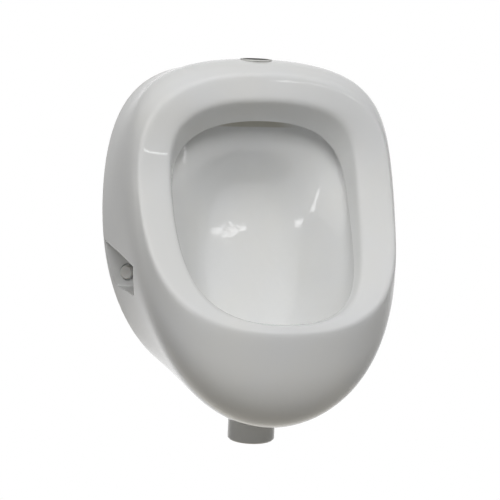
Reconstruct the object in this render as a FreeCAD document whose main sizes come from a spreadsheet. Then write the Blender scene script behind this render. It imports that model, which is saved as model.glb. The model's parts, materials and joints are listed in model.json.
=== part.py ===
import FreeCAD, Part
import math
import os
import Sketcher

# A wall hung bowl urinal of glazed vitreous china. Millimetres.
# Origin: on the wall plane, on the centre line, at the level of the two hanger screws.
# +X is the user's right, the bowl faces -Y, the wall is the plane y = 0, +Z is up.
# Depths are distances in front of the wall, heights are above the origin, drops below it.

SIZES = {
    # the outline of the china on the wall
    "wall_top": 93.5, "wall_foot": 332.5, "wall_half_width": 184, "wall_widest": 178,
    # the ring that swells the flanks
    "flank_top_depth": 21, "flank_top": 103.5, "sole_depth": 117, "sole_drop": 352.5,
    "flank_half_width": 181, "flank_widest": 158,
    # the ring that swells the belly
    "crown_depth": 55, "crown_height": 103.5, "belly_depth": 241, "belly_drop": 347.5,
    "belly_half_width": 173, "belly_widest": 180,
    # the outer edge of the rim, which bows back towards the wall between its top and the lip
    "rim_top_depth": 100, "rim_top": 88.5, "lip_depth": 247, "lip_drop": 211.5,
    "rim_half_width": 163, "rim_widest": 157, "rim_bow": 48.7,
    # the border of the rim, from its outer edge to the roll into the bowl
    "border_top": 34, "border_lean": 4, "border_side": 42, "border_foot_rise": 10,
    "border_foot_back": 7, "border_widest": 110,
    # the inclined band from that roll back to the edge of the skirt
    "band_top": 28, "band_back": 27, "band_side": 7, "band_foot_back": 15, "band_foot_drop": 2,
    "skirt_widest": 112, "skirt_edge": 3,
    # the channel behind the skirt, and the bowl below it
    "channel_rise": 14, "channel_spread": 6, "channel_depth": 30, "bowl_half_width": 117,
    "bowl_top_depth": 43, "bowl_top_drop": 8, "bowl_front_depth": 204, "bowl_front_drop": 258,
    "basin_half_width": 98, "basin_front_depth": 150, "floor_drop": 268, "bowl_widest": 140,
    "basin_sweep": 24, "back_half_width": 74, "back_depth": 16, "back_lean": 0.26, "back_swell": 30,
    "back_top_drop": 62, "back_foot_drop": 236, "back_widest": 120, "low_half_width": 52,
    "low_widest": 100, "end_half_width": 18, "end_top_drop": 120, "end_foot_drop": 160,
    # walls
    "china_wall": 9, "shell_wall": 10, "hollow_top_depth": 50, "hollow_foot_depth": 218,
    "hollow_foot_drop": 300, "hollow_inset": 15, "overcut": 1,
    # flush inlet, chamber and slot
    "inlet_depth": 42, "inlet_land": 100.5, "inlet_bore": 36, "chamber_half_width": 60,
    "chamber_half_depth": 21, "chamber_floor": 46, "chamber_roof": 86, "chamber_wall": 8,
    "slot_half_width": 52, "slot_half_depth": 7, "slot_depth": 55, "slot_bottom": 28,
    "seal_bore": 32, "seal_flange": 40, "seal_flange_thickness": 2, "seal_length": 14,
    # outlet spigot, its sleeve and the strainer
    "outlet_depth": 90, "spigot_diameter": 60, "spigot_bottom": 379.5, "spigot_bore": 46, "spigot_edge": 2,
    "sleeve_wall": 3, "sleeve_length": 34, "sleeve_lip": 2.5,
    "strainer_diameter": 56, "strainer_thickness": 2, "strainer_seat": 3, "strainer_well": 42,
    "strainer_hole": 5, "strainer_ring_inner": 9, "strainer_ring_outer": 16,
    "strainer_collar": 42, "strainer_collar_depth": 9, "strainer_collar_wall": 1.5,
    "knob_diameter": 12, "knob_neck": 8, "knob_height": 4,
    # side fixings: a screw splayed into the wall from a scoop in each flank
    "fixing_half_spacing": 154, "fixing_drop": 173, "fixing_depth": 26, "fixing_splay": 40,
    "land_front": 15.5, "land_back": 45, "ramp_angle": 17, "scoop_reach": 140, "scoop_top": 39,
    "scoop_top_slope": 0.13, "scoop_foot": 18.5, "ear_wall": 9, "cap_recess_diameter": 21.5,
    "cap_recess_depth": 4, "cap_diameter": 17.6, "cap_height": 7, "cap_wall": 1.5, "cap_dome": 1.2,
    "screw_diameter": 6, "screw_head_diameter": 11, "screw_head_height": 3.5, "screw_length": 78,
    "bush_flange_diameter": 17.6, "bush_flange_thickness": 1.6, "bush_diameter": 13.6, "bush_length": 14,
    "fixing_hole_diameter": 14, "plug_diameter": 10, "plug_length": 50, "plug_rim_diameter": 12,
    # hidden hangers near the top
    "hanger_half_spacing": 98, "hanger_shelf": 16.5, "hanger_width": 34, "hanger_thickness": 3,
    "hanger_reach": 13, "hanger_tongue": 9, "hanger_plate_height": 27, "pocket_margin": 1.5,
    "pocket_depth": 18, "pocket_head_room": 3, "lip_wall": 7, "boss_wall": 10, "boss_fall": 4,
    "hanger_screw_length": 52,
    # working clearances
    "rest_gap": 0.3, "sliding_gap": 0.15, "snug_gap": 0.05,
}

doc = FreeCAD.newDocument("wall_hung_urinal")
sheet = doc.addObject("Spreadsheet::Sheet", "sizes")
for row, (name, value) in enumerate(SIZES.items(), 1):
    sheet.set("A%d" % row, name)
    sheet.set("B%d" % row, str(value))
    sheet.setAlias("B%d" % row, name)
doc.recompute()

VECTOR = FreeCAD.Vector
INNER_HOLES, OUTER_HOLES = 6, 12
PIECES = []


def size(name):
    return float(getattr(sheet, name))


def bind(thing, **expressions):
    """Ties properties of a document object to the sheet."""
    for path, expression in expressions.items():
        thing.setExpression(path, expression)
    return thing


def piece(thing, label):
    """Marks an object as one of the sub-parts."""
    thing.Label = label
    PIECES.append(thing)
    return thing


def plane_of(body, role):
    return [f for f in body.Origin.OriginFeatures if f.Role == role][0]


def new_sketch(body, name, role):
    sketch = body.newObject("Sketcher::SketchObject", name)
    sketch.AttachmentSupport = (plane_of(body, role), [""])
    sketch.MapMode = "FlatFace"
    return sketch


# ---------------------------------------------------------------- the skin of the china

# A ring is the right half of an egg shaped outline: two curves of four poles each, which
# meet upright at the widest level. A smooth skin is drawn over a row of rings.
DEGREE = 3
WALL_FULLNESS = (0.54, 1.0, 0.60, 0.59)
FLANK_FULLNESS = (0.61, 0.68, 0.53, 0.47)
BELLY_FULLNESS = (0.87, 0.85, 0.67, 0.63)
RIM_FULLNESS = (1.03, 0.34, 0.48, 0.97)
MOUTH_FULLNESS = (0.96, 0.53, 0.75, 0.87)
SKIRT_FULLNESS = (0.74, 0.65, 0.69, 0.92)
BOWL_FULLNESS = (0.74, 0.66, 0.66, 0.66)
ROUND_FULLNESS = (0.60, 0.60, 0.56, 0.56)

# Shares of the way between two rings at which a rolled edge gets a ring of its own.
ROOT_OF_EDGE, END_OF_EDGE, END_OF_BORDER, START_OF_BAND = 0.20, 0.24, 0.72, 0.35

# The channel's rings, from the skirt to the bowl: shares of the channel's depth, rise and
# spread and of the rim's bow, and how far the foot drops.
CHANNEL_RUN = ((0.4, 1.0, 1.0, 0.95, 10), (1.0, 0.9, 1.0, 0.85, 26), (1.1, -0.7, 0.8, 0.60, 50))
BELLY_BOW, BOWL_BOW = 0.35, 0.30


def ring(top, foot, half_width, widest, fullness, bow=0.0):
    """Poles of a ring between a top and a foot, each a (depth, height), leaning with them.

    widest is how far below the top, along the lean, the ring is widest. fullness holds the
    shares of the four pole handles. bow draws the middle of the ring back to the wall.
    """
    (top_depth, top_height), (foot_depth, foot_height) = top, foot
    length = math.hypot(foot_depth - top_depth, top_height - foot_height)
    crown, shoulder, flank, sole = fullness
    upper = [(0, 0), (crown * half_width, 0), (half_width, widest - shoulder * widest),
             (half_width, widest)]
    lower = [(half_width, widest), (half_width, widest + flank * (length - widest)),
             (sole * half_width, length), (0, length)]

    def depth(share):
        return top_depth + (foot_depth - top_depth) * share - 4 * bow * share * (1 - share)

    def slope(share):
        return foot_depth - top_depth - 4 * bow * (1 - 2 * share)

    poles = []
    for curve in (upper, lower):
        shares = [along / length for across, along in curve]
        depths = [depth(shares[0]), depth(shares[0]) + slope(shares[0]) * (shares[1] - shares[0]),
                  depth(shares[3]) + slope(shares[3]) * (shares[2] - shares[3]), depth(shares[3])]
        heights = [top_height + (foot_height - top_height) * share for share in shares]
        poles.append([VECTOR(across, -back, up)
                      for (across, along), back, up in zip(curve, depths, heights)])
    return poles


def between(one, other, share):
    """A ring part of the way from one ring to another, for the rolled edges."""
    return [[a * (1 - share) + b * share for a, b in zip(curve, match)]
            for curve, match in zip(one, other)]


def cap(poles):
    """The flat face inside a flat ring."""
    edges = []
    for side in (1, -1):
        for curve in poles:
            line = Part.BezierCurve()
            line.setPoles([VECTOR(side * p.x, p.y, p.z) for p in curve])
            edges.append(line.toShape())
    return Part.Face(Part.Wire(Part.__sortEdges__(edges)))


def skin_solid(name, rings):
    """The solid inside a skin over the rings, closed by flat faces on the first and last."""
    last = len(rings) - DEGREE
    knots = list(range(last + 1))
    ends = [DEGREE + 1] + [1] * (last - 1) + [DEGREE + 1]
    faces = [cap(rings[0]), cap(rings[-1])]
    for side in (1, -1):
        for quarter in (0, 1):
            grid = [[VECTOR(side * one[quarter][pole].x, one[quarter][pole].y, one[quarter][pole].z)
                     for one in rings] for pole in range(DEGREE + 1)]
            surface = Part.BSplineSurface()
            surface.buildFromPolesMultsKnots(grid, [DEGREE + 1, DEGREE + 1], ends, [0, 1], knots,
                                             False, False, DEGREE, DEGREE)
            faces.append(surface.toShape())
    shell = Part.Shell(faces)
    shell.sewShape()
    solid = Part.Solid(shell)
    if solid.Volume < 0:
        solid.reverse()
    feature = doc.addObject("Part::Feature", name)
    feature.Shape = solid
    return feature


def wall_ring(inset=0.0, behind=0.0):
    """The outline of the china on the wall, or the one of its open back."""
    return ring((-behind, size("wall_top") - inset), (-behind, -size("wall_foot") + inset),
                size("wall_half_width") - inset, size("wall_widest") - inset, WALL_FULLNESS)


def flank_ring(inset=0.0):
    return ring((size("flank_top_depth"), size("flank_top") - inset),
                (size("sole_depth"), -size("sole_drop") + inset),
                size("flank_half_width") - inset, size("flank_widest") - inset, FLANK_FULLNESS)


def mouth_ring():
    """The roll between the border of the rim and the inclined band."""
    return ring((size("rim_top_depth") + size("border_lean"), size("rim_top") - size("border_top")),
                (size("lip_depth") - size("border_foot_back"), size("border_foot_rise") - size("lip_drop")),
                size("rim_half_width") - size("border_side"), size("border_widest"), MOUTH_FULLNESS,
                size("rim_bow"))


def skirt_ring(back=0.0, rise=0.0, spread=0.0, drop=0.0, bow=1.0, grow=0.0):
    """The edge of the skirt, or a ring behind it that is moved back, raised, spread and dropped."""
    top = (size("rim_top_depth") + size("border_lean") - size("band_back") - back - 0.5 * grow,
           size("rim_top") - size("border_top") - size("band_top") + rise + grow)
    foot = (size("lip_depth") - size("border_foot_back") - size("band_foot_back") + 0.5 * grow,
            size("border_foot_rise") - size("lip_drop") - size("band_foot_drop") - drop - grow)
    half_width = size("rim_half_width") - size("border_side") - size("band_side") + spread + grow
    return ring(top, foot, half_width, size("skirt_widest") + rise + grow, SKIRT_FULLNESS,
                bow * size("rim_bow"))


def on_back(height, grow):
    """The depth of the bowl's back, which curves out from the wall on its way to the outlet."""
    below = -height - size("back_top_drop")
    swell = size("back_swell")
    return size("back_depth") - grow + size("back_lean") * (math.hypot(below, swell) - swell)


def back_ring(top, foot, half_width, widest, grow):
    """A ring round the hollow of the bowl's back."""
    return ring((on_back(top, grow), top), (on_back(foot, grow), foot), half_width, widest, ROUND_FULLNESS)


def bowl_rings(grow=0.0):
    """The channel behind the skirt and the bowl down to the flat of its back.

    With a wall to grow by, they are the outside of the bowl.
    """
    rings = [skirt_ring(back * size("channel_depth"), rise * size("channel_rise"),
                        spread * size("channel_spread"), drop, bow, grow)
             for back, rise, spread, bow, drop in CHANNEL_RUN]
    floor = -size("floor_drop") - grow
    top_depth = size("bowl_top_depth") - 0.5 * grow
    top = -size("bowl_top_drop") + grow
    back_top = -size("back_top_drop") + grow
    end_top = -size("end_top_drop")
    rings.append(ring((top_depth, top), (size("bowl_front_depth"), -size("bowl_front_drop") - grow),
                      size("bowl_half_width") + grow, size("bowl_widest") + grow, BOWL_FULLNESS,
                      BOWL_BOW * size("rim_bow")))
    rings.append(ring((0.5 * (top_depth + on_back(back_top, grow)), 0.5 * (top + back_top)),
                      (size("basin_front_depth"), floor), size("basin_half_width") + grow,
                      size("bowl_widest") + grow, BOWL_FULLNESS))
    rings.append(ring((on_back(back_top, grow), back_top),
                      (on_back(floor, grow) + size("basin_sweep"), floor),
                      size("back_half_width") + grow, size("back_widest") + grow, ROUND_FULLNESS))
    rings.append(back_ring(0.5 * (back_top + end_top), -size("back_foot_drop") - grow,
                           size("low_half_width") + grow, size("low_widest"), grow))
    rings.append(back_ring(end_top, -size("end_foot_drop"), size("end_half_width"),
                           0.5 * (size("end_foot_drop") - size("end_top_drop")), grow))
    return rings


def china_form():
    """The whole form: flanks, belly, rolled rim, border, band, skirt, channel and bowl."""
    belly = ring((size("crown_depth"), size("crown_height")), (size("belly_depth"), -size("belly_drop")),
                 size("belly_half_width"), size("belly_widest"), BELLY_FULLNESS,
                 BELLY_BOW * size("rim_bow"))
    rim = ring((size("rim_top_depth"), size("rim_top")), (size("lip_depth"), -size("lip_drop")),
               size("rim_half_width"), size("rim_widest"), RIM_FULLNESS, size("rim_bow"))
    mouth, skirt = mouth_ring(), skirt_ring()
    edge = size("skirt_edge")
    under_skirt = skirt_ring(edge, 0.5 * size("channel_rise"), 0.8 * size("channel_spread"), edge)
    return skin_solid("china_form", [
        wall_ring(), flank_ring(), belly, between(rim, belly, ROOT_OF_EDGE), rim,
        between(rim, mouth, END_OF_EDGE), between(rim, mouth, END_OF_BORDER), mouth,
        between(mouth, skirt, START_OF_BAND), skirt, skirt, under_skirt] + bowl_rings())


def hollow_form():
    """The open back: the outside drawn in by the wall of the china, closed behind the rim."""
    wall = size("china_wall")
    inset = size("hollow_inset")
    front = ring((size("hollow_top_depth"), size("wall_top") - inset),
                 (size("hollow_foot_depth"), -size("hollow_foot_drop")),
                 size("rim_half_width") - 0.3 * inset, size("wall_widest") - inset, FLANK_FULLNESS)
    return skin_solid("hollow_form", [wall_ring(wall, wall), wall_ring(wall), flank_ring(1.6 * wall), front])


def bowl_shell():
    """The outside of the channel and the bowl, a wall away from their inside."""
    grow = size("shell_wall")
    start = ring((size("rim_top_depth"), size("rim_top")), (size("lip_depth"), -size("lip_drop")),
                 size("bowl_half_width") + grow, size("rim_widest"), RIM_FULLNESS)
    return skin_solid("bowl_shell", [start] + bowl_rings(grow))


# ---------------------------------------------------------------- simple solids

def block(name, x, y, z, length, width, height):
    """A box whose corner and edges are expressions."""
    box = doc.addObject("Part::Box", name)
    bind(box, Length=length, Width=width, Height=height)
    bind(box, **{"Placement.Base.x": x, "Placement.Base.y": y, "Placement.Base.z": z})
    return box


def fused(name, things):
    join = doc.addObject("Part::MultiFuse", name)
    join.Shapes = things
    return join


def cut(name, base, tool):
    result = doc.addObject("Part::Cut", name)
    result.Base = base
    result.Tool = tool
    return result


def upright_cylinder(name, radius, x, y, bottom, height):
    solid = doc.addObject("Part::Cylinder", name)
    bind(solid, Radius=radius, Height=height)
    bind(solid, **{"Placement.Base.x": x, "Placement.Base.y": y, "Placement.Base.z": bottom})
    return solid


def profile(sketch, points):
    """A closed outline of straight runs, every corner tied to the sheet."""
    count = len(points)
    start = [VECTOR(10 * math.cos(2 * math.pi * i / count) + 20,
                    10 * math.sin(2 * math.pi * i / count) + 20, 0) for i in range(count)]
    for i in range(count):
        sketch.addGeometry(Part.LineSegment(start[i], start[(i + 1) % count]), False)
    for i in range(count):
        sketch.addConstraint(Sketcher.Constraint("Coincident", i, 2, (i + 1) % count, 1))
    for i, (across, up) in enumerate(points):
        if across == "0":
            sketch.addConstraint(Sketcher.Constraint("PointOnObject", i, 1, -2))
        else:
            number = sketch.addConstraint(Sketcher.Constraint("DistanceX", -1, 1, i, 1, start[i].x))
            sketch.setExpression("Constraints[%d]" % number, "(%s) * 1 mm" % across)
        if up == "0":
            sketch.addConstraint(Sketcher.Constraint("PointOnObject", i, 1, -1))
        else:
            number = sketch.addConstraint(Sketcher.Constraint("DistanceY", -1, 1, i, 1, start[i].y))
            sketch.setExpression("Constraints[%d]" % number, "(%s) * 1 mm" % up)


def turned(name, points, placement=None):
    """A round piece: a half profile of (radius, height) corners turned about its own Z axis."""
    body = doc.addObject("PartDesign::Body", name)
    sketch = new_sketch(body, name + "_profile", "XZ_Plane")
    profile(sketch, points)
    turn = body.newObject("PartDesign::Revolution", name + "_turn")
    turn.Profile = sketch
    turn.ReferenceAxis = (sketch, ["V_Axis"])
    turn.Angle = 360
    doc.recompute()
    if placement is not None:
        body.Placement = placement
    return body


def fixing_place(side):
    """The frame of a side fixing: its Z axis points out of the scoop, away from the wall."""
    splay = math.radians(size("fixing_splay"))
    outward = VECTOR(side * math.sin(splay), -math.cos(splay), 0)
    land = VECTOR(side * size("fixing_half_spacing"), -size("fixing_depth"), -size("fixing_drop"))
    across = VECTOR(0, 0, 1)
    return FreeCAD.Placement(land, FreeCAD.Rotation(across.cross(outward), across, outward, "ZYX"))


def hanger_place(side):
    """The frame of a hanger screw: its Z axis points out of the wall."""
    seat = VECTOR(side * size("hanger_half_spacing"), -size("hanger_thickness"), 0)
    return FreeCAD.Placement(seat, FreeCAD.Rotation(VECTOR(1, 0, 0), 90))


def stadium(name, radius, rise, fall, length, placement):
    """A pad with two round ends, above and below its own origin."""
    body = doc.addObject("PartDesign::Body", name)
    sketch = new_sketch(body, name + "_outline", "XY_Plane")
    half, up, down = 15, 30, 60
    top = sketch.addGeometry(Part.Arc(VECTOR(half, up, 0), VECTOR(0, up + half, 0), VECTOR(-half, up, 0)))
    left = sketch.addGeometry(Part.LineSegment(VECTOR(-half, up, 0), VECTOR(-half, -down, 0)))
    base = sketch.addGeometry(Part.Arc(VECTOR(-half, -down, 0), VECTOR(0, -down - half, 0),
                                       VECTOR(half, -down, 0)))
    right = sketch.addGeometry(Part.LineSegment(VECTOR(half, -down, 0), VECTOR(half, up, 0)))
    for one, other in ((top, left), (left, base), (base, right), (right, top)):
        sketch.addConstraint(Sketcher.Constraint("Tangent", one, 2, other, 1))
    for arc in (top, base):
        sketch.addConstraint(Sketcher.Constraint("PointOnObject", arc, 3, -2))
    sketch.addConstraint(Sketcher.Constraint("Equal", top, base))
    for constraint, expression in (
            (Sketcher.Constraint("Radius", top, half), radius),
            (Sketcher.Constraint("DistanceY", -1, 1, top, 3, up), rise),
            (Sketcher.Constraint("DistanceY", base, 3, -1, 1, down), fall)):
        number = sketch.addConstraint(constraint)
        sketch.setExpression("Constraints[%d]" % number, "(%s) * 1 mm" % expression)
    pad = body.newObject("PartDesign::Pad", name + "_pad")
    pad.Profile = sketch
    pad.setExpression("Length", length)
    doc.recompute()
    body.Placement = placement
    return body


def prism(name, role, points, length):
    """A straight edged outline padded to both sides of one of the main planes."""
    body = doc.addObject("PartDesign::Body", name)
    sketch = new_sketch(body, name + "_outline", role)
    profile(sketch, points)
    pad = body.newObject("PartDesign::Pad", name + "_pad")
    pad.Profile = sketch
    pad.setExpression("Length", length)
    pad.SideType = "Symmetric"
    doc.recompute()
    return body


def fixing_side_view(name, wall):
    """Depth and height of the scoops, or of the ears round them: a level foot, a sloping top."""
    foot = "-sizes.fixing_drop - sizes.scoop_foot - " + wall
    top = "-sizes.fixing_drop + sizes.scoop_top + " + wall
    reach = "sizes.scoop_reach"
    return prism(name, "YZ_Plane", [
        (reach, foot), ("-" + reach, foot), ("-" + reach, top + " - sizes.scoop_top_slope * " + reach),
        ("0", top), (reach, top)], "4 * sizes.wall_half_width")


def fixing_plan(word, side, part, wall):
    """Corners of a scoop or an ear in plan: its land, and the ramp that runs out of the flank."""
    front = "(sizes.land_front + %s)" % wall
    across = "(sizes.fixing_half_spacing - %s * cos(sizes.fixing_splay))" % front
    depth = "(sizes.fixing_depth + %s * sin(sizes.fixing_splay))" % front
    ramp_across = "(%s + sizes.scoop_reach * sin(sizes.ramp_angle))" % across
    ramp_depth = "(%s + sizes.scoop_reach * cos(sizes.ramp_angle))" % depth
    outside = "2 * sizes.wall_half_width"
    if part == "scoop":
        behind = [("sizes.fixing_half_spacing + sizes.land_back * cos(sizes.fixing_splay)",
                   "sizes.land_back * sin(sizes.fixing_splay) - sizes.fixing_depth")]
    else:
        behind = [(outside, "sizes.land_back"), (across, "sizes.land_back")]
    corners = [(across, "-" + depth), (ramp_across, "-" + ramp_depth), (outside, "-" + ramp_depth)] + behind
    return prism("%s_plan_%s" % (part, word), "XY_Plane",
                 [("%d * (%s)" % (side, x), y) for x, y in corners], "4 * sizes.wall_foot")


def common(name, things):
    shared = doc.addObject("Part::MultiCommon", name)
    shared.Shapes = things
    return shared


def fixing_ear(word, side, side_view):
    """The china behind one scoop, a wall thicker all round and back to the wall."""
    return common("ear_" + word, [fixing_plan(word, side, "ear", "sizes.ear_wall"), side_view])


def fixing_scoop(word, side, side_view):
    """What is cut for one side fixing: the scoop, the cap's recess and the screw hole."""
    opening = common("scoop_" + word, [fixing_plan(word, side, "scoop", "0"), side_view])
    hole = turned("fixing_hole_" + word, [
        ("0", "-sizes.plug_length"), ("sizes.fixing_hole_diameter / 2", "-sizes.plug_length"),
        ("sizes.fixing_hole_diameter / 2", "-sizes.cap_recess_depth"),
        ("sizes.cap_recess_diameter / 2", "-sizes.cap_recess_depth"),
        ("sizes.cap_recess_diameter / 2", "sizes.overcut"), ("0", "sizes.overcut")], fixing_place(side))
    return fused("fixing_cut_" + word, [opening, hole])


HALF_POCKET = "(sizes.hanger_width / 2 + sizes.pocket_margin)"


def hanger_boss(word, side):
    """The china round one hanger pocket, hung from the top wall."""
    place = FreeCAD.Placement(VECTOR(side * size("hanger_half_spacing"), size("overcut"), 0),
                              FreeCAD.Rotation(VECTOR(1, 0, 0), 90))
    return stadium("hanger_boss_" + word, HALF_POCKET + " + sizes.boss_wall", "sizes.wall_top",
                   "sizes.boss_fall", "sizes.pocket_depth + sizes.boss_wall + sizes.overcut", place)


def hanger_pocket(word, side):
    """The square pocket over one hanger and the throat its tongue rises into."""
    edge = "%d * sizes.hanger_half_spacing - %s" % (side, HALF_POCKET)
    pocket = block("pocket_" + word, edge, "-sizes.pocket_depth",
                   "sizes.hanger_shelf - sizes.hanger_plate_height - sizes.pocket_margin",
                   "2 * " + HALF_POCKET, "2 * sizes.pocket_depth",
                   "sizes.hanger_plate_height + sizes.pocket_margin")
    throat = block("throat_" + word, edge, "-sizes.pocket_depth",
                   "sizes.hanger_shelf - sizes.pocket_margin", "2 * " + HALF_POCKET,
                   "sizes.pocket_depth - sizes.lip_wall",
                   "sizes.hanger_tongue + sizes.pocket_head_room + sizes.pocket_margin")
    return [pocket, throat]


def chamber_form(name, wall, floor, height):
    """The round ended flush chamber above the slot, or the china round it."""
    base = VECTOR(0, -size("inlet_depth"), size("chamber_floor") - floor)
    end = "sizes.chamber_half_width - sizes.chamber_half_depth"
    return stadium(name, "sizes.chamber_half_depth + " + wall, end, end, height,
                   FreeCAD.Placement(base, FreeCAD.Rotation(VECTOR(0, 0, 1), 90)))


def flush_slot():
    """The long slot from the chamber down behind the skirt."""
    outline = doc.addObject("Part::Ellipse", "slot_outline")
    bind(outline, MajorRadius="sizes.slot_half_width", MinorRadius="sizes.slot_half_depth")
    bind(outline, **{"Placement.Base.y": "-sizes.slot_depth", "Placement.Base.z": "sizes.slot_bottom"})
    slot = doc.addObject("Part::Extrusion", "flush_slot")
    slot.Base = outline
    slot.Dir = VECTOR(0, 0, 1)
    slot.DirMode = "Custom"
    slot.Solid = True
    return bind(slot, LengthFwd="sizes.chamber_floor - sizes.slot_bottom + 2 * sizes.overcut")


def inlet_cuts():
    """The flush inlet's hole through the top and the flat land its seal lies on."""
    depth = "-sizes.inlet_depth"
    hole = upright_cylinder("inlet_hole", "sizes.inlet_bore / 2", "0", depth,
                            "sizes.chamber_roof - sizes.overcut", "sizes.wall_top")
    land = upright_cylinder("inlet_land", "sizes.seal_flange / 2 + sizes.overcut", "0", depth,
                            "sizes.inlet_land", "sizes.china_wall")
    return [hole, land]


def outlet_cuts():
    """The bore of the spigot and the strainer's seat in the floor of the bowl."""
    depth = "-sizes.outlet_depth"
    bore = upright_cylinder("outlet_bore", "sizes.spigot_bore / 2", "0", depth,
                            "-sizes.spigot_bottom - sizes.overcut",
                            "sizes.spigot_bottom - sizes.floor_drop + 4 * sizes.strainer_seat")
    seat = upright_cylinder("strainer_recess", "sizes.strainer_diameter / 2 + sizes.sliding_gap", "0",
                            depth, "-sizes.floor_drop - sizes.strainer_seat", "sizes.strainer_well")
    return [bore, seat]


def spigot():
    top = "-sizes.floor_drop - sizes.strainer_seat"
    return turned("spigot_form", [
        ("0", "-sizes.spigot_bottom"),
        ("sizes.spigot_diameter / 2 - sizes.spigot_edge", "-sizes.spigot_bottom"),
        ("sizes.spigot_diameter / 2", "-sizes.spigot_bottom + sizes.spigot_edge"),
        ("sizes.spigot_diameter / 2", top), ("0", top)],
        FreeCAD.Placement(VECTOR(0, -size("outlet_depth"), 0), FreeCAD.Rotation()))


def ceramic_body():
    """One casting: belly, rolled rim with its skirt, bowl, flush chamber and slot, spigot, ears."""
    outer, hollow = china_form(), hollow_form()
    pan = upright_cylinder("pan_under_strainer", "sizes.strainer_diameter / 2 + sizes.china_wall", "0",
                           "-sizes.outlet_depth",
                           "-sizes.floor_drop - sizes.strainer_seat - sizes.china_wall",
                           "sizes.strainer_well + sizes.china_wall")
    kept = [bowl_shell(), pan, chamber_form("chamber_walls", "sizes.chamber_wall", size("chamber_wall"),
                                            "sizes.wall_top")]
    tools = [chamber_form("flush_chamber", "0", 0.0, "sizes.chamber_roof - sizes.chamber_floor"),
             flush_slot()] + inlet_cuts() + outlet_cuts()
    scoop_view = fixing_side_view("scoop_side_view", "0")
    ear_view = fixing_side_view("ear_side_view", "sizes.ear_wall")
    for side, word in ((-1, "left"), (1, "right")):
        kept += [fixing_ear(word, side, ear_view), hanger_boss(word, side)]
        tools += [fixing_scoop(word, side, scoop_view)] + hanger_pocket(word, side)
    void = cut("void_behind_bowl", hollow, fused("kept_china", kept))
    cast = cut("cast_with_open_back", outer, void)
    whole = fused("cast_with_spigot", [cast, spigot()])
    return piece(cut("ceramic", whole, fused("cuts_in_china", tools)), "ceramic_body")


def inlet_seal():
    """Rubber seal in the flush inlet, its flange on the china."""
    top = "sizes.inlet_land"
    body = turned("inlet_rubber", [
        ("sizes.seal_bore / 2", "%s - sizes.seal_length" % top),
        ("sizes.inlet_bore / 2 - sizes.snug_gap", "%s - sizes.seal_length" % top),
        ("sizes.inlet_bore / 2 - sizes.snug_gap", "%s + sizes.rest_gap" % top),
        ("sizes.seal_flange / 2", "%s + sizes.rest_gap" % top),
        ("sizes.seal_flange / 2 - 0.6", "%s + sizes.rest_gap + sizes.seal_flange_thickness" % top),
        ("sizes.seal_bore / 2", "%s + sizes.rest_gap + sizes.seal_flange_thickness" % top)],
        FreeCAD.Placement(VECTOR(0, -size("inlet_depth"), 0), FreeCAD.Rotation()))
    return piece(body, "inlet_seal")


def outlet_sleeve():
    """Rubber sleeve pressed up inside the spigot, where the trap's pipe enters."""
    outer = "sizes.spigot_bore / 2 - sizes.snug_gap"
    inner = "sizes.spigot_bore / 2 - sizes.sleeve_wall"
    bottom = "-sizes.spigot_bottom + 1"
    body = turned("outlet_rubber", [
        (inner, bottom), (outer, bottom), (outer, "%s + sizes.sleeve_length" % bottom),
        ("%s - sizes.sleeve_lip" % inner, "%s + sizes.sleeve_length" % bottom),
        (inner, "%s + sizes.sleeve_length - 2 * sizes.sleeve_lip" % bottom)],
        FreeCAD.Placement(VECTOR(0, -size("outlet_depth"), 0), FreeCAD.Rotation()))
    return piece(body, "outlet_sleeve")


def strainer():
    """A perforated plate with a collar that drops into the outlet and a knob to lift it by."""
    collar, top = "sizes.strainer_collar / 2", "sizes.strainer_thickness"
    plate = turned("strainer_plate", [
        ("0", "0"), (collar + " - sizes.strainer_collar_wall", "0"),
        (collar + " - sizes.strainer_collar_wall", "-sizes.strainer_collar_depth"),
        (collar, "-sizes.strainer_collar_depth"), (collar, "0"), ("sizes.strainer_diameter / 2", "0"),
        ("sizes.strainer_diameter / 2", "0.5 * " + top), ("sizes.strainer_diameter / 2 - " + top, top),
        ("sizes.knob_neck / 2", top), ("sizes.knob_neck / 2", top + " + 0.4 * sizes.knob_height"),
        ("sizes.knob_diameter / 2", top + " + 0.6 * sizes.knob_height"),
        ("sizes.knob_neck / 2", top + " + sizes.knob_height"), ("0", top + " + sizes.knob_height")])
    holes = []
    for circle, count in (("strainer_ring_inner", INNER_HOLES), ("strainer_ring_outer", OUTER_HOLES)):
        for i in range(count):
            angle = 2 * math.pi * i / count
            hole = doc.addObject("Part::Cylinder", "strainer_hole")
            bind(hole, Radius="sizes.strainer_hole / 2", Height="3 * " + top)
            hole.Placement.Base = VECTOR(size(circle) * math.cos(angle), size(circle) * math.sin(angle),
                                         -size("strainer_thickness"))
            holes.append(hole)
    result = cut("strainer_cut", plate, fused("strainer_holes", holes))
    floor = -size("floor_drop") - size("strainer_seat") + size("rest_gap")
    result.Placement.Base = VECTOR(0, -size("outlet_depth"), floor)
    return piece(result, "strainer")


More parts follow.
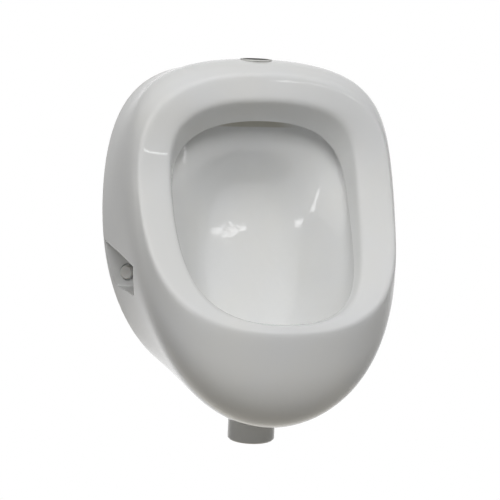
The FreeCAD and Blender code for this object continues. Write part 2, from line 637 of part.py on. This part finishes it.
def side_fixing(side):
    """Screw, bush, cap and wall plug of one side fixing."""
    word = "left" if side < 0 else "right"
    place = fixing_place(side)
    floor = "-sizes.cap_recess_depth + sizes.snug_gap"
    flange_top = "%s + sizes.bush_flange_thickness" % floor
    bore = "sizes.screw_diameter / 2 + sizes.snug_gap"
    piece(turned("bush_" + word, [
        (bore, "%s - sizes.bush_length" % floor),
        ("sizes.bush_diameter / 2", "%s - sizes.bush_length" % floor), ("sizes.bush_diameter / 2", floor),
        ("sizes.bush_flange_diameter / 2", floor), ("sizes.bush_flange_diameter / 2", flange_top),
        (bore, flange_top)], place), "screw_bush_" + word)
    seat = "%s + sizes.snug_gap" % flange_top
    piece(turned("screw_" + word, [
        ("0", "%s - sizes.screw_length" % seat),
        ("sizes.screw_diameter / 2", "%s - sizes.screw_length + sizes.screw_diameter" % seat),
        ("sizes.screw_diameter / 2", seat), ("sizes.screw_head_diameter / 2", seat),
        ("sizes.screw_head_diameter / 2", "%s + 0.5 * sizes.screw_head_height" % seat),
        ("sizes.screw_head_diameter / 4", "%s + sizes.screw_head_height" % seat),
        ("0", "%s + sizes.screw_head_height" % seat)], place), "fixing_screw_" + word)
    foot = "%s + sizes.snug_gap" % flange_top
    inner = "sizes.cap_diameter / 2 - sizes.cap_wall"
    roof = "%s + sizes.cap_height - sizes.cap_wall" % foot
    piece(turned("cap_" + word, [
        (inner, foot), ("sizes.cap_diameter / 2", foot),
        ("sizes.cap_diameter / 2", "%s + sizes.cap_wall - sizes.cap_dome" % roof),
        ("sizes.cap_diameter / 2 - sizes.cap_dome", "%s + sizes.cap_wall" % roof),
        ("0", "%s + sizes.cap_wall" % roof), ("0", roof), (inner, roof)], place), "screw_cap_" + word)
    # along the splayed screw, the wall plane is this far below the land
    wall = "-sizes.fixing_depth / cos(sizes.fixing_splay)"
    start = "%s - sizes.plug_diameter / 2 * tan(sizes.fixing_splay) - 1" % wall
    piece(turned("plug_" + word, [
        (bore, "%s - sizes.plug_length" % start),
        ("sizes.plug_diameter / 2 - 1", "%s - sizes.plug_length" % start),
        ("sizes.plug_diameter / 2", "%s - 0.8 * sizes.plug_length" % start),
        ("sizes.plug_diameter / 2", start), (bore, start)], place), "wall_plug_" + word)


def hanger(side):
    """A bent steel hook plate on the wall, with its screw and plug; the china's lip sits on it."""
    word = "left" if side < 0 else "right"
    body = doc.addObject("PartDesign::Body", "hook_" + word)
    sketch = new_sketch(body, "hook_profile_" + word, "YZ_Plane")
    shelf = "(sizes.hanger_shelf - sizes.rest_gap)"
    profile(sketch, [
        ("0", "%s - sizes.hanger_plate_height" % shelf),
        ("0", shelf), ("sizes.rest_gap - sizes.hanger_reach + sizes.hanger_thickness", shelf),
        ("sizes.rest_gap - sizes.hanger_reach + sizes.hanger_thickness", "%s + sizes.hanger_tongue" % shelf),
        ("sizes.rest_gap - sizes.hanger_reach", "%s + sizes.hanger_tongue" % shelf),
        ("sizes.rest_gap - sizes.hanger_reach", "%s - sizes.hanger_thickness" % shelf),
        ("-sizes.hanger_thickness", "%s - sizes.hanger_thickness" % shelf),
        ("-sizes.hanger_thickness", "%s - sizes.hanger_plate_height" % shelf)])
    pad = body.newObject("PartDesign::Pad", "hook_pad_" + word)
    pad.Profile = sketch
    pad.setExpression("Length", "sizes.hanger_width")
    pad.SideType = "Symmetric"
    doc.recompute()
    body.Placement.Base = VECTOR(side * size("hanger_half_spacing"), 0, 0)
    hole = doc.addObject("Part::Cylinder", "hook_hole_" + word)
    bind(hole, Radius="sizes.screw_diameter / 2 + sizes.rest_gap", Height="4 * sizes.hanger_thickness")
    place = hanger_place(side)
    hole.Placement = place.multiply(FreeCAD.Placement(VECTOR(0, 0, -2 * size("hanger_thickness")),
                                                      FreeCAD.Rotation()))
    piece(cut("hook_cut_" + word, body, hole), "hanger_" + word)
    seat = "sizes.snug_gap"
    piece(turned("hook_screw_" + word, [
        ("0", "%s - sizes.hanger_screw_length" % seat),
        ("sizes.screw_diameter / 2", "%s - sizes.hanger_screw_length + sizes.screw_diameter" % seat),
        ("sizes.screw_diameter / 2", seat), ("sizes.screw_head_diameter / 2", seat),
        ("sizes.screw_head_diameter / 2", "%s + 0.5 * sizes.screw_head_height" % seat),
        ("sizes.screw_head_diameter / 4", "%s + sizes.screw_head_height" % seat),
        ("0", "%s + sizes.screw_head_height" % seat)], place), "hanger_screw_" + word)
    bore = "sizes.screw_diameter / 2 + sizes.snug_gap"
    start = "-sizes.hanger_thickness - sizes.rest_gap"
    piece(turned("hook_plug_" + word, [
        (bore, "%s - sizes.plug_length" % start),
        ("sizes.plug_diameter / 2 - 1", "%s - sizes.plug_length" % start),
        ("sizes.plug_diameter / 2", "%s - 0.8 * sizes.plug_length" % start),
        ("sizes.plug_diameter / 2", start), (bore, start)], place), "hanger_plug_" + word)


ceramic_body()
inlet_seal()
outlet_sleeve()
strainer()
for hand in (-1, 1):
    side_fixing(hand)
    hanger(hand)
doc.recompute()

for thing in doc.Objects:
    if "Invalid" in thing.State or "Error" in thing.State:
        raise RuntimeError("%s failed: %s" % (thing.Name, thing.State))
for thing in PIECES:
    if thing.Shape.isNull() or not thing.Shape.isValid():
        raise RuntimeError(thing.Label + " has no valid shape")

os.makedirs("parts", exist_ok=True)
for thing in PIECES:
    thing.Shape.exportStep("parts/%s.step" % thing.Label)
    print("%-22s solids %d volume %.0f" % (thing.Label, len(thing.Shape.Solids), thing.Shape.Volume))
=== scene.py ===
import json
import math

import bpy
from mathutils import Matrix, Vector

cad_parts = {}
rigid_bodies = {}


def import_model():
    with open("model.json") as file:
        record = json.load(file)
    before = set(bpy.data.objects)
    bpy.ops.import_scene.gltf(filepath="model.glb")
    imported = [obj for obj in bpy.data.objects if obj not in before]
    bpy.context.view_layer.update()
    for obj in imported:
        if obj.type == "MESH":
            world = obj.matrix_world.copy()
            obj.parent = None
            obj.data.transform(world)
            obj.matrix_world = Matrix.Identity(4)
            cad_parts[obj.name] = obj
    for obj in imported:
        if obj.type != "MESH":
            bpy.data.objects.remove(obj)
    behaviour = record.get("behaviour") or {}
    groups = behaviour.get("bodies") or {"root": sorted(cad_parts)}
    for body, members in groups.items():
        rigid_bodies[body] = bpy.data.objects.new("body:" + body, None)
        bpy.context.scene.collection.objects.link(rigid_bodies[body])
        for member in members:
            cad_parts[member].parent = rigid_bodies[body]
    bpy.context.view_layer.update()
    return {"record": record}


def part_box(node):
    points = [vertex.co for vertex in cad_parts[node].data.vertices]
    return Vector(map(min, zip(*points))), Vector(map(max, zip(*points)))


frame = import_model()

MM = 0.001


# ------------------------------------------------------------ camera, as the photograph was taken

PICTURE_PIXELS = 500
SENSOR_MM = 36.0
FOCAL_PIXELS = 1800.0
MM_PER_PIXEL = 1.255
AZIMUTH, ELEVATION, ROLL = 16.0, 8.96, 2.34
AIM_MM = (-14.1, -100.0, -133.0)


def place_camera():
    """Looks at the bowl from its left front, a little above, with a long lens."""
    azimuth, elevation, roll = (math.radians(v) for v in (AZIMUTH, ELEVATION, ROLL))
    back = Vector((-math.sin(azimuth) * math.cos(elevation),
                   -math.cos(azimuth) * math.cos(elevation), math.sin(elevation)))
    level = Vector((math.cos(azimuth), -math.sin(azimuth), 0.0))
    above = back.cross(level)
    right = level * math.cos(roll) + above * math.sin(roll)
    up = above * math.cos(roll) - level * math.sin(roll)
    data = bpy.data.cameras.new("photo_camera")
    data.sensor_width = SENSOR_MM
    data.lens = FOCAL_PIXELS / PICTURE_PIXELS * SENSOR_MM
    camera = bpy.data.objects.new("photo_camera", data)
    bpy.context.collection.objects.link(camera)
    distance = FOCAL_PIXELS * MM_PER_PIXEL * MM
    place = Matrix.Translation(Vector(AIM_MM) * MM + back * distance)
    camera.matrix_world = place @ Matrix((right, up, back)).transposed().to_4x4()
    bpy.context.scene.camera = camera


# ------------------------------------------------------------ nodes

def linear(hex_colour):
    """An sRGB hex colour as Blender's linear colour."""
    parts = [int(hex_colour[i:i + 2], 16) / 255 for i in (1, 3, 5)]
    return [v / 12.92 if v <= 0.04045 else ((v + 0.055) / 1.055) ** 2.4 for v in parts] + [1.0]


def add_node(tree, kind, settings, inputs):
    """Adds a node with its settings; an input is a plain value or another node's output."""
    node = tree.nodes.new(kind)
    for name, value in settings.items():
        setattr(node, name, value)
    for name, value in inputs.items():
        if isinstance(value, bpy.types.NodeSocket):
            tree.links.new(value, node.inputs[name])
        else:
            node.inputs[name].default_value = value
    return node


def new_finish(name, **constants):
    """A material with its tree, its shader with the constants set, and the piece's coordinates."""
    material = bpy.data.materials.new(name)
    material.use_nodes = True
    tree = material.node_tree
    shader = tree.nodes["Principled BSDF"]
    for socket, value in constants.items():
        shader.inputs[socket.replace("_", " ")].default_value = value
    place = add_node(tree, "ShaderNodeTexCoord", {}, {}).outputs["Object"]
    return material, tree, shader, place


def per_metre(size_mm):
    """The scale of a pattern whose features are this many millimetres apart."""
    return 1.0 / (size_mm * MM)


# ------------------------------------------------------------ finishes

WALL_MM = 0.0
OUTLET_END_MM = -379.5
BARE_LAND_MM, ALL_BARE_MM = 1.2, 0.48
EDGE_RADIUS_MM = 2.2
CAST_WAVE_MM, RIPPLE_MM = 0.5, 0.03
INLET_BORE_MM = 16.6
# the throat behind the skirt, painted a darker grey-beige strip, partly for its thin glaze and
# partly as painted shade under the skirt's edge: how far it reaches each way, and how softly it
# fades out
THROAT_HALF_MM, THROAT_CORE_MM = 64, 25.6
THROAT_FOOT_MM, THROAT_FADE_MM = 15.5, 2.5
THROAT_TOP_MM, THROAT_DEPTH_MM = 60, 60


def glazed_vitreous_china():
    """Slip-cast clay with a thick white glaze, fired once: deep gloss, all edges softened.

    The glaze pools a little unevenly, so its white drifts between warm and cool over a hand's
    width, and its skin ripples, which bends the lamps' reflections. The face on the wall and the
    end of the spigot are wiped bare before firing and stay matt and cream. Under the skirt's edge
    the throat is painted a darker grey-beige strip: partly its thin glaze, partly painted shade.
    """
    material, tree, shader, place = new_finish("glazed_vitreous_china", IOR=1.52)
    drift = add_node(tree, "ShaderNodeTexNoise", {},
                     {"Vector": place, "Scale": per_metre(110), "Detail": 3.0, "Roughness": 0.5})
    glaze = add_node(tree, "ShaderNodeMix", {"data_type": "RGBA"},
                     {"Factor": drift.outputs["Fac"], 6: linear("#EAE9E4"), 7: linear("#E5E7EA")})

    spread = add_node(tree, "ShaderNodeSeparateXYZ", {}, {"Vector": place})
    land = add_node(tree, "ShaderNodeMapRange", {},
                    {"Value": spread.outputs["Y"], "From Min": (WALL_MM - BARE_LAND_MM) * MM,
                     "From Max": (WALL_MM - ALL_BARE_MM) * MM})
    end = add_node(tree, "ShaderNodeMapRange", {},
                   {"Value": spread.outputs["Z"], "From Min": (OUTLET_END_MM + BARE_LAND_MM) * MM,
                    "From Max": (OUTLET_END_MM + ALL_BARE_MM) * MM})
    bare = add_node(tree, "ShaderNodeMath", {"operation": "MAXIMUM"},
                    {0: land.outputs["Result"], 1: end.outputs["Result"]})
    across = add_node(tree, "ShaderNodeMath", {"operation": "ABSOLUTE"}, {0: spread.outputs["X"]})
    within = add_node(tree, "ShaderNodeMapRange", {"interpolation_type": "SMOOTHSTEP"},
                      {"Value": across.outputs[0], "From Min": THROAT_HALF_MM * MM,
                       "From Max": THROAT_CORE_MM * MM})
    above = add_node(tree, "ShaderNodeMapRange", {"interpolation_type": "SMOOTHSTEP"},
                     {"Value": spread.outputs["Z"], "From Min": THROAT_FOOT_MM * MM,
                      "From Max": (THROAT_FOOT_MM + THROAT_FADE_MM) * MM})
    below = add_node(tree, "ShaderNodeMath", {"operation": "LESS_THAN"},
                     {0: spread.outputs["Z"], 1: THROAT_TOP_MM * MM})
    behind = add_node(tree, "ShaderNodeMath", {"operation": "GREATER_THAN"},
                      {0: spread.outputs["Y"], 1: -THROAT_DEPTH_MM * MM})
    throat = within.outputs["Result"]
    for bound in (above.outputs["Result"], below.outputs[0], behind.outputs[0]):
        throat = add_node(tree, "ShaderNodeMath", {"operation": "MULTIPLY"},
                          {0: throat, 1: bound}).outputs[0]
    grit = add_node(tree, "ShaderNodeTexNoise", {},
                    {"Vector": place, "Scale": per_metre(1.5), "Detail": 4.0, "Roughness": 0.6})
    biscuit = add_node(tree, "ShaderNodeMix", {"data_type": "RGBA"},
                       {"Factor": grit.outputs["Fac"], 6: linear("#D9D2C3"), 7: linear("#C9C1B0")})
    # the throat strip's colour: partly thin glaze, partly painted shade under the skirt's edge
    thin_glaze_and_shade = add_node(tree, "ShaderNodeMix", {"data_type": "RGBA"},
                       {"Factor": throat, 6: glaze.outputs[2], 7: linear("#C8C5B7")})
    colour = add_node(tree, "ShaderNodeMix", {"data_type": "RGBA"},
                      {"Factor": bare.outputs[0], 6: thin_glaze_and_shade.outputs[2], 7: biscuit.outputs[2]})
    tree.links.new(colour.outputs[2], shader.inputs["Base Color"])

    haze = add_node(tree, "ShaderNodeTexNoise", {},
                    {"Vector": place, "Scale": per_metre(30), "Detail": 4.0, "Roughness": 0.55})
    gloss = add_node(tree, "ShaderNodeMapRange", {},
                     {"Value": haze.outputs["Fac"], "From Min": 0.3, "From Max": 0.7,
                      "To Min": 0.03, "To Max": 0.07})
    dull = add_node(tree, "ShaderNodeMix", {"data_type": "FLOAT"},
                    {"Factor": bare.outputs[0], 2: gloss.outputs["Result"], 3: 0.7})
    tree.links.new(dull.outputs[0], shader.inputs["Roughness"])

    soft_edges = add_node(tree, "ShaderNodeBevel", {"samples": 8}, {"Radius": EDGE_RADIUS_MM * MM})
    ripple = add_node(tree, "ShaderNodeTexNoise", {},
                      {"Vector": place, "Scale": per_metre(12), "Detail": 2.0, "Roughness": 0.4})
    cast_wave = add_node(tree, "ShaderNodeTexNoise", {},
                         {"Vector": place, "Scale": per_metre(75), "Detail": 1.0})
    waved = add_node(tree, "ShaderNodeBump", {},
                     {"Height": cast_wave.outputs["Fac"], "Strength": 1.0,
                      "Distance": CAST_WAVE_MM * MM, "Normal": soft_edges.outputs["Normal"]})
    skin = add_node(tree, "ShaderNodeBump", {},
                    {"Height": ripple.outputs["Fac"], "Strength": 1.0,
                     "Distance": RIPPLE_MM * MM, "Normal": waved.outputs["Normal"]})
    tree.links.new(skin.outputs["Normal"], shader.inputs["Normal"])
    return material


def moulded_rubber(name, deep, bloomed, painted_bore_shade=None):
    """Rubber from a blasted mould: matt, clouded by the faint bloom that comes out of it.

    Inside a bore's radius round its axis, when given, the colour is painted dark as painted shade.
    """
    material, tree, shader, place = new_finish(name, IOR=1.5)
    bloom = add_node(tree, "ShaderNodeTexNoise", {},
                     {"Vector": place, "Scale": per_metre(7), "Detail": 5.0, "Roughness": 0.6})
    colour = add_node(tree, "ShaderNodeMix", {"data_type": "RGBA"},
                      {"Factor": bloom.outputs["Fac"], 6: linear(deep), 7: linear(bloomed)})
    if painted_bore_shade:
        axis, radius_mm = painted_bore_shade
        centred = add_node(tree, "ShaderNodeMapping", {},
                           {"Vector": place, "Location": (-axis[0], -axis[1], 0.0),
                            "Scale": (1.0, 1.0, 0.0)})
        off_axis = add_node(tree, "ShaderNodeVectorMath", {"operation": "LENGTH"},
                            {0: centred.outputs["Vector"]})
        bore = add_node(tree, "ShaderNodeMath", {"operation": "LESS_THAN"},
                        {0: off_axis.outputs["Value"], 1: radius_mm * MM})
        # painted shade: inside the bore the colour is painted near black
        colour = add_node(tree, "ShaderNodeMix", {"data_type": "RGBA"},
                          {"Factor": bore.outputs[0], 6: colour.outputs[2], 7: linear("#2A2926")})
    tree.links.new(colour.outputs[2], shader.inputs["Base Color"])
    sheen = add_node(tree, "ShaderNodeMapRange", {},
                     {"Value": bloom.outputs["Fac"], "To Min": 0.5, "To Max": 0.78})
    tree.links.new(sheen.outputs["Result"], shader.inputs["Roughness"])
    # the mould's blasting is about 0.1 mm, drawn six times as coarse so that it shows
    grain = add_node(tree, "ShaderNodeTexNoise", {},
                     {"Vector": place, "Scale": per_metre(0.6), "Detail": 2.0})
    blasted = add_node(tree, "ShaderNodeBump", {},
                       {"Height": grain.outputs["Fac"], "Strength": 0.6, "Distance": 0.08 * MM})
    tree.links.new(blasted.outputs["Normal"], shader.inputs["Normal"])
    return material


def turned_stainless(axis):
    """Stainless steel, pressed and then polished on a lathe.

    The polishing leaves fine rings round the strainer's axis, and water leaves dull patches.
    """
    material, tree, shader, place = new_finish("turned_stainless_steel", Metallic=1.0)
    centred = add_node(tree, "ShaderNodeMapping", {},
                       {"Vector": place, "Location": (-axis[0], -axis[1], 0.0)})
    # the polishing lines are about 0.2 mm apart, drawn four times as far so that they show
    rings = add_node(tree, "ShaderNodeTexWave",
                     {"wave_type": "RINGS", "rings_direction": "Z", "wave_profile": "SIN"},
                     {"Vector": centred.outputs["Vector"], "Scale": per_metre(0.8) * math.pi / 10,
                      "Distortion": 0.6, "Detail": 2.0, "Detail Scale": 3.0})
    stain = add_node(tree, "ShaderNodeTexNoise", {},
                     {"Vector": place, "Scale": per_metre(9), "Detail": 4.0, "Roughness": 0.6})
    colour = add_node(tree, "ShaderNodeMix", {"data_type": "RGBA"},
                      {"Factor": stain.outputs["Fac"], 6: linear("#CFCECB"), 7: linear("#B9B7B2")})
    tree.links.new(colour.outputs[2], shader.inputs["Base Color"])
    brushed = add_node(tree, "ShaderNodeMapRange", {},
                       {"Value": rings.outputs["Fac"], "To Min": 0.2, "To Max": 0.34})
    tree.links.new(brushed.outputs["Result"], shader.inputs["Roughness"])
    lines = add_node(tree, "ShaderNodeBump", {},
                     {"Height": rings.outputs["Fac"], "Strength": 0.4, "Distance": 0.02 * MM})
    tree.links.new(lines.outputs["Normal"], shader.inputs["Normal"])
    return material


def moulded_white_abs():
    """White ABS from a polished mould: a soft gloss, a little light let in, faint flow marks."""
    material, tree, shader, place = new_finish(
        "moulded_white_abs", IOR=1.53, Subsurface_Weight=0.06, Subsurface_Scale=1.0 * MM)
    flow = add_node(tree, "ShaderNodeTexNoise", {},
                    {"Vector": place, "Scale": per_metre(6), "Detail": 3.0, "Roughness": 0.5})
    colour = add_node(tree, "ShaderNodeMix", {"data_type": "RGBA"},
                      {"Factor": flow.outputs["Fac"], 6: linear("#EFEEEA"), 7: linear("#E6E5E1")})
    tree.links.new(colour.outputs[2], shader.inputs["Base Color"])
    gloss = add_node(tree, "ShaderNodeMapRange", {},
                     {"Value": flow.outputs["Fac"], "To Min": 0.24, "To Max": 0.4})
    tree.links.new(gloss.outputs["Result"], shader.inputs["Roughness"])
    soft_edges = add_node(tree, "ShaderNodeBevel", {"samples": 8}, {"Radius": 0.4 * MM})
    grain = add_node(tree, "ShaderNodeTexNoise", {},
                     {"Vector": place, "Scale": per_metre(1.2), "Detail": 2.0})
    textured = add_node(tree, "ShaderNodeBump", {},
                        {"Height": grain.outputs["Fac"], "Strength": 0.3, "Distance": 0.03 * MM,
                         "Normal": soft_edges.outputs["Normal"]})
    tree.links.new(textured.outputs["Normal"], shader.inputs["Normal"])
    return material


def moulded_grey_nylon():
    """Grey nylon wall plugs as moulded: waxy, half matt, clouded where the melt cooled."""
    material, tree, shader, place = new_finish(
        "moulded_grey_nylon", IOR=1.53, Subsurface_Weight=0.1, Subsurface_Scale=1.5 * MM)
    cloud = add_node(tree, "ShaderNodeTexNoise", {},
                     {"Vector": place, "Scale": per_metre(8), "Detail": 4.0, "Roughness": 0.55})
    colour = add_node(tree, "ShaderNodeMix", {"data_type": "RGBA"},
                      {"Factor": cloud.outputs["Fac"], 6: linear("#A6A9A9"), 7: linear("#8E9192")})
    tree.links.new(colour.outputs[2], shader.inputs["Base Color"])
    wax = add_node(tree, "ShaderNodeMapRange", {},
                   {"Value": cloud.outputs["Fac"], "To Min": 0.38, "To Max": 0.56})
    tree.links.new(wax.outputs["Result"], shader.inputs["Roughness"])
    grain = add_node(tree, "ShaderNodeTexNoise", {},
                     {"Vector": place, "Scale": per_metre(0.9), "Detail": 2.0})
    textured = add_node(tree, "ShaderNodeBump", {},
                        {"Height": grain.outputs["Fac"], "Strength": 0.4, "Distance": 0.04 * MM})
    tree.links.new(textured.outputs["Normal"], shader.inputs["Normal"])
    return material


def zinc_plated_steel(name, cool, warm, dullest):
    """Steel with a thin electroplated zinc: grey shine that clouds blue and straw in patches."""
    material, tree, shader, place = new_finish(name, Metallic=1.0)
    cloud = add_node(tree, "ShaderNodeTexNoise", {},
                     {"Vector": place, "Scale": per_metre(10), "Detail": 5.0, "Roughness": 0.6})
    colour = add_node(tree, "ShaderNodeMix", {"data_type": "RGBA"},
                      {"Factor": cloud.outputs["Fac"], 6: linear(cool), 7: linear(warm)})
    tree.links.new(colour.outputs[2], shader.inputs["Base Color"])
    crystals = add_node(tree, "ShaderNodeTexNoise", {},
                        {"Vector": place, "Scale": per_metre(1.6), "Detail": 4.0, "Roughness": 0.6})
    dull = add_node(tree, "ShaderNodeMapRange", {},
                    {"Value": crystals.outputs["Fac"], "From Min": 0.3, "From Max": 0.7,
                     "To Min": 0.24, "To Max": dullest})
    tree.links.new(dull.outputs["Result"], shader.inputs["Roughness"])
    plated = add_node(tree, "ShaderNodeBump", {},
                      {"Height": crystals.outputs["Fac"], "Strength": 0.3, "Distance": 0.03 * MM})
    tree.links.new(plated.outputs["Normal"], shader.inputs["Normal"])
    return material


def middle_of(node):
    """The middle of a node's box."""
    return [0.5 * (a + b) for a, b in zip(*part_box(node))]


def finish_all_nodes():
    """Gives every CAD node the finish of its slot in the record."""
    finishes = {
        "china": glazed_vitreous_china(),
        "seal_rubber": moulded_rubber("black_epdm_rubber", "#1E1E1F", "#323233"),
        "strainer_steel": turned_stainless(middle_of("strainer")),
        "white_plastic": moulded_white_abs(),
        "plug_nylon": moulded_grey_nylon(),
        "hanger_steel": zinc_plated_steel("zinc_plated_pressing", "#B4BABF", "#C2BFB3", 0.46),
        "screw_steel": zinc_plated_steel("zinc_plated_screw", "#BEC3C6", "#C9C4B2", 0.38),
    }
    # the seal in the inlet is the pale kind, and the photograph shows it as a light ring
    # its bore is painted dark, as painted shade in the deep hole
    own_finish = {"inlet_seal": moulded_rubber("pale_silicone_rubber", "#C4C4C0", "#D2D2CE",
                                               (middle_of("inlet_seal"), INLET_BORE_MM))}
    for part in frame["record"]["subparts"]:
        finish = own_finish.get(part["node"], finishes[part["material_slot"]])
        for slot in bpy.data.objects[part["node"]].material_slots:
            slot.material = finish


# ------------------------------------------------------------ stage

FLOOR_MM = -1500.0
FLOOR_WIDTH_MM = 3600.0
PAPER_GLOW = 0.94
SKY_DARK, SKY_BRIGHT = 0.02, 0.2
SKY_TOWARDS = Vector((0.0, -0.6, 0.8))


def white_to_the_eye(tree):
    """1 for rays from the camera, or seen in a shiny or clear surface, and 0 for the rest."""
    path = add_node(tree, "ShaderNodeLightPath", {}, {})
    shiny = add_node(tree, "ShaderNodeMath", {"operation": "ADD", "use_clamp": True},
                     {0: path.outputs["Is Glossy Ray"], 1: path.outputs["Is Transmission Ray"]})
    return add_node(tree, "ShaderNodeMath", {"operation": "ADD", "use_clamp": True},
                    {0: shiny.outputs[0], 1: path.outputs["Is Camera Ray"]}).outputs[0]


def lay_stage():
    """A pale paper floor under a white sky; both look white, and the floor keeps a shadow.

    The sky lights the china from the front and above, where the studio's white walls are.
    """
    world = bpy.data.worlds.new("studio")
    world.use_nodes = True
    bpy.context.scene.world = world
    tree = world.node_tree
    heading = add_node(tree, "ShaderNodeTexCoord", {}, {}).outputs["Generated"]
    facing = add_node(tree, "ShaderNodeVectorMath", {"operation": "DOT_PRODUCT"},
                      {0: heading, 1: SKY_TOWARDS})
    sky = add_node(tree, "ShaderNodeMapRange", {},
                   {"Value": facing.outputs["Value"], "To Min": SKY_DARK, "To Max": SKY_BRIGHT})
    level = add_node(tree, "ShaderNodeMapRange", {},
                     {"Value": white_to_the_eye(tree), "To Min": sky.outputs["Result"],
                      "To Max": 1.0})
    tree.links.new(level.outputs["Result"], tree.nodes["Background"].inputs["Strength"])
    tree.nodes["Background"].inputs["Color"].default_value = (1.0, 1.0, 1.0, 1.0)

    paper = bpy.data.materials.new("pale_paper")
    paper.use_nodes = True
    tree = paper.node_tree
    shader = tree.nodes["Principled BSDF"]
    shader.inputs["Base Color"].default_value = linear("#ADA694")
    shader.inputs["Roughness"].default_value = 0.9
    lift = add_node(tree, "ShaderNodeMath", {"operation": "MULTIPLY"},
                    {0: white_to_the_eye(tree), 1: PAPER_GLOW})
    glow = add_node(tree, "ShaderNodeEmission", {}, {"Strength": lift.outputs[0]})
    both = add_node(tree, "ShaderNodeAddShader", {}, {0: shader.outputs[0], 1: glow.outputs[0]})
    tree.links.new(both.outputs[0], tree.nodes["Material Output"].inputs["Surface"])
    bpy.ops.mesh.primitive_plane_add(size=FLOOR_WIDTH_MM * MM, location=(0, 0, FLOOR_MM * MM))
    floor = bpy.context.object
    floor.name = "floor"
    floor.data.materials.append(paper)


BOWL_CENTRE_MM = (0.0, -100.0, -130.0)


def soft_box(name, direction, distance, width, height, watts, reflected=True, tilt=0.0):
    """A flat studio lamp that looks at the bowl, in metres; its long side is tilted in degrees.

    A lamp that isn't reflected is so well diffused that the glaze shows no picture of it.
    """
    data = bpy.data.lights.new(name, "AREA")
    data.shape = "RECTANGLE"
    data.size, data.size_y = width, height
    data.energy = watts
    light = bpy.data.objects.new(name, data)
    bpy.context.collection.objects.link(light)
    light.visible_glossy = reflected
    centre = Vector(BOWL_CENTRE_MM) * MM
    light.location = centre + Vector(direction).normalized() * distance
    light.rotation_euler = (light.location - centre).to_track_quat("Z", "Y").to_euler()
    light.rotation_euler.rotate_axis("Z", math.radians(tilt))


def light_the_studio():
    """Two strip lamps that the bowl and the rim reflect, and wide boxes that only fill."""
    soft_box("right_strip", (0.5, -0.78, 0.19), 2.4, 1.35, 0.045, watts=1.2, tilt=-15.0)
    soft_box("left_strip", (-0.91, -0.41, 0.0), 2.4, 1.3, 0.1, watts=1.9)
    soft_box("left_fill", (-1.0, -0.35, 0.3), 2.0, 0.6, 0.6, watts=1.6, reflected=False)
    soft_box("top_box", (-0.25, -1.0, 1.12), 1.9, 1.5, 1.5, watts=25.5, reflected=False)
    soft_box("back_box", (0.15, 1.0, 0.05), 1.9, 1.5, 1.5, watts=22.0, reflected=False)


# ------------------------------------------------------------ the scene

bpy.context.scene.view_settings.view_transform = "Standard"
bpy.ops.object.select_all(action="DESELECT")
place_camera()
finish_all_nodes()
lay_stage()
light_the_studio()
